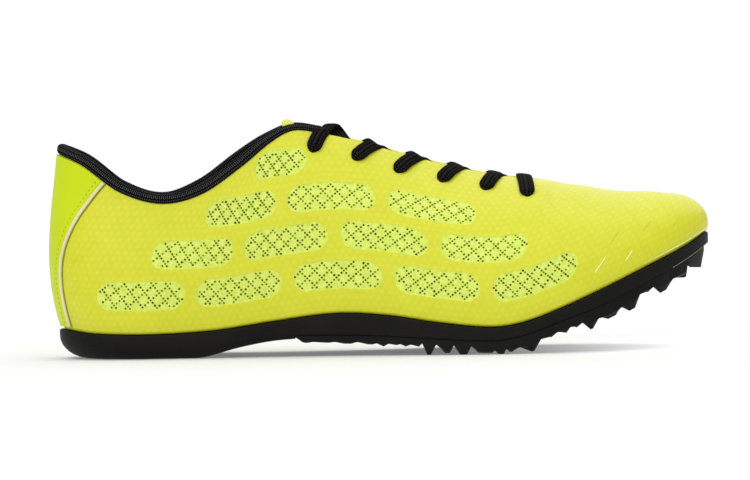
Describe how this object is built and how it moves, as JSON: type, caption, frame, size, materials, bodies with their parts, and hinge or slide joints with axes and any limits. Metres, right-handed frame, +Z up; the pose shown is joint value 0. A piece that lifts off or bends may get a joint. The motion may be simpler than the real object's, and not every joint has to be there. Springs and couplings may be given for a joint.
{
  "type": "track running shoe",
  "caption": "Low-cut right running shoe for the track: thin hollow yellow upper with laces and tongue on a slim black sole, with a lugged plate under the forefoot and toe.",
  "frame": {"origin": "on the floor, under the middle of the shoe's bounding box", "axes": "+X from heel to toe, +Y to the inner side of the foot, +Z up"},
  "size_m": [0.2811, 0.0942, 0.0992],
  "materials": {
    "yellow_film": "thin film over mesh, satin",
    "counter_yellow": "smooth synthetic, satin",
    "black_knit": "matt knit",
    "black_lace": "woven",
    "black_foam": "smooth, half matt",
    "black_plate": "moulded, satin"
  },
  "bodies": {
    "root": {"upper": "yellow_film", "tongue": "yellow_film", "heel_counter": "counter_yellow", "collar_binding": "black_knit", "insole": "black_knit", "midsole": "black_foam", "outsole_plate": "black_plate", "lace_bar": "black_lace", "lace_crossing_1": "black_lace", "lace_crossing_2": "black_lace", "lace_crossing_3": "black_lace", "lace_crossing_4": "black_lace", "lace_crossing_5": "black_lace"}
  },
  "joints": []
}
